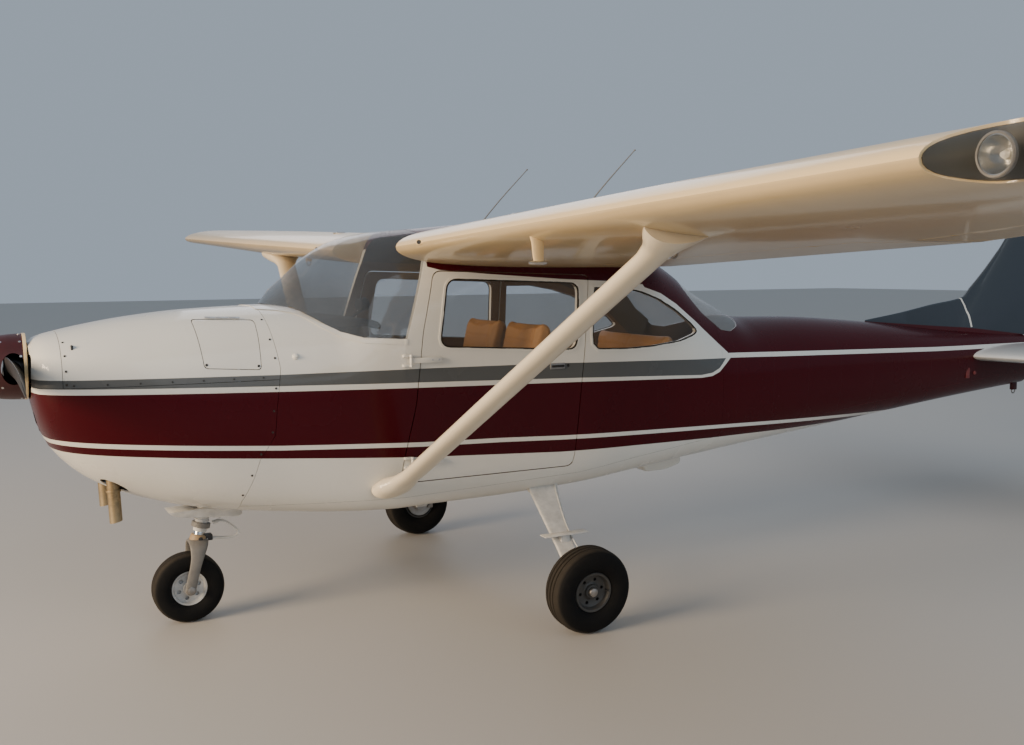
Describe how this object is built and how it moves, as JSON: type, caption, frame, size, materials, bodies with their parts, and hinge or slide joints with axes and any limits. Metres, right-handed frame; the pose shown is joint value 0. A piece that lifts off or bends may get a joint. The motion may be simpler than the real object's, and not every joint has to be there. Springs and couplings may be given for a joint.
{
  "type": "light aircraft",
  "caption": "High-wing light aircraft with strut-braced wings, a nose propeller, hinged cabin doors, moving control surfaces and fixed tricycle undercarriage.",
  "frame": {"origin": "on the ground, under the middle of the aircraft's overall length and span", "axes": "nose towards -X, tail towards +X, starboard wing towards +Y, up +Z"},
  "size_m": [8.1511, 11.02, 2.712],
  "materials": {
    "skin_white": "gloss white paint",
    "skin_maroon": "gloss maroon paint",
    "skin_slate": "satin slate grey paint",
    "bare_aluminium": "bare metal",
    "blade_grey": "satin grey paint",
    "leg_white": "gloss white paint",
    "steel": "dull metal",
    "engine_casting": "rough casting",
    "tyre": "worn rubber",
    "leather": "tan leather",
    "bench_base": "carpeted",
    "panel_plastic": "black matte",
    "glass": "clear"
  },
  "bodies": {
    "airframe": {"cowl_nose_cap": "skin_white", "cowl_upper": "skin_white", "cowl_lower": "skin_white", "cabin_floor_pan": "skin_white", "windscreen_deck": "skin_white", "cabin_side_right": "skin_white", "cabin_side_left": "skin_white", "wing_right": "skin_white", "wing_left": "skin_white", "wing_strut_right": "skin_white", "wing_strut_left": "skin_white", "stabilizer_right": "skin_white", "stabilizer_left": "skin_white", "nose_gear_plate": "skin_white", "cabin_roof": "skin_maroon", "tailcone": "skin_maroon", "fin": "skin_slate", "firewall": "bare_aluminium", "nose_strut": "bare_aluminium", "seat_frame_left": "bare_aluminium", "seat_frame_right": "bare_aluminium", "gear_leg_right": "leg_white", "gear_leg_left": "leg_white", "exhaust_left": "steel", "exhaust_right": "steel", "main_axle_right": "steel", "main_axle_left": "steel", "engine_block": "engine_casting", "seat_cushion_left": "leather", "seat_cushion_right": "leather", "seat_cushion_rear": "leather", "seat_frame_rear": "bench_base", "instrument_panel": "panel_plastic", "windshield": "glass", "rear_window": "glass", "quarter_glass_right": "glass", "quarter_glass_left": "glass", "landing_light_lens": "glass"},
    "propeller": {"propeller_blades": "blade_grey", "spinner": "skin_maroon"},
    "nose_fork": {"nose_fork": "leg_white"},
    "nose_wheel": {"nose_tyre": "tyre", "nose_hub": "bare_aluminium"},
    "main_wheel_left": {"main_tyre_left": "tyre", "main_hub_left": "bare_aluminium"},
    "main_wheel_right": {"main_tyre_right": "tyre", "main_hub_right": "bare_aluminium"},
    "door_left": {"door_left": "skin_white", "door_glass_left": "glass"},
    "door_right": {"door_right": "skin_white", "door_glass_right": "glass"},
    "oil_door": {"oil_door": "skin_white"},
    "aileron_left": {"aileron_left": "skin_white"},
    "aileron_right": {"aileron_right": "skin_white"},
    "flap_left": {"flap_left": "skin_white"},
    "flap_right": {"flap_right": "skin_white"},
    "elevator": {"elevator": "skin_white"},
    "rudder": {"rudder": "skin_slate"}
  },
  "joints": [
    {"name": "propeller_spin", "type": "hinge", "parent": "airframe", "child": "propeller", "pos_m": [-3.8155, 0, 1.32], "axis": [1, 0, 0], "continuous": true},
    {"name": "nose_steering", "type": "hinge", "parent": "airframe", "child": "nose_fork", "pos_m": [-3.0755, 0, 0.175], "axis": [0.2291, 0, 0.9734], "range_deg": [-30, 30]},
    {"name": "nose_wheel_spin", "type": "hinge", "parent": "nose_fork", "child": "nose_wheel", "pos_m": [-3.0755, 0, 0.175], "axis": [0, 1, 0], "continuous": true},
    {"name": "main_wheel_left_spin", "type": "hinge", "parent": "airframe", "child": "main_wheel_left", "pos_m": [-1.3955, -1.0935, 0.211], "axis": [0, 0.9976, 0.0698], "continuous": true},
    {"name": "main_wheel_right_spin", "type": "hinge", "parent": "airframe", "child": "main_wheel_right", "pos_m": [-1.3955, 1.0935, 0.211], "axis": [0, 0.9976, -0.0698], "continuous": true},
    {"name": "door_left_hinge", "type": "hinge", "parent": "airframe", "child": "door_left", "pos_m": [-2.0735, -0.549, 1.054], "axis": [0, 0, -1], "range_deg": [0, 75]},
    {"name": "door_right_hinge", "type": "hinge", "parent": "airframe", "child": "door_right", "pos_m": [-2.0735, 0.549, 1.054], "axis": [0, 0, 1], "range_deg": [0, 75]},
    {"name": "oil_door_hinge", "type": "hinge", "parent": "airframe", "child": "oil_door", "pos_m": [-2.9275, -0.3023, 1.5336], "axis": [-0.9861, 0.1641, 0.0268], "range_deg": [0, 80]},
    {"name": "aileron_left_hinge", "type": "hinge", "parent": "airframe", "child": "aileron_left", "pos_m": [-0.90571, -2.606, 1.89833], "axis": [0.1035, 0.9926, -0.0628], "range_deg": [-20, 15]},
    {"name": "aileron_right_hinge", "type": "hinge", "parent": "airframe", "child": "aileron_right", "pos_m": [-0.90571, 2.606, 1.89833], "axis": [-0.1035, 0.9926, 0.0628], "range_deg": [-15, 20]},
    {"name": "flap_left_track", "type": "hinge", "parent": "airframe", "child": "flap_left", "pos_m": [-0.95084, -0.592, 1.68227], "axis": [0, 0.9991, -0.0415], "range_deg": [0, 40]},
    {"name": "flap_right_track", "type": "hinge", "parent": "airframe", "child": "flap_right", "pos_m": [-0.95084, 0.592, 1.68227], "axis": [0, 0.9991, 0.0415], "range_deg": [0, 40]},
    {"name": "elevator_hinge", "type": "hinge", "parent": "airframe", "child": "elevator", "pos_m": [3.1545, 0, 1.131], "axis": [0, 1, 0], "range_deg": [-28, 23]},
    {"name": "rudder_hinge", "type": "hinge", "parent": "airframe", "child": "rudder", "pos_m": [3.2565, 0, 0.945], "axis": [0.2926, 0, 0.9562], "range_deg": [-17, 17]}
  ],
  "couplings": [
    {"joint": "aileron_right_hinge", "follows": "aileron_left_hinge", "ratio": -1},
    {"joint": "flap_right_track", "follows": "flap_left_track", "ratio": 1}
  ]
}
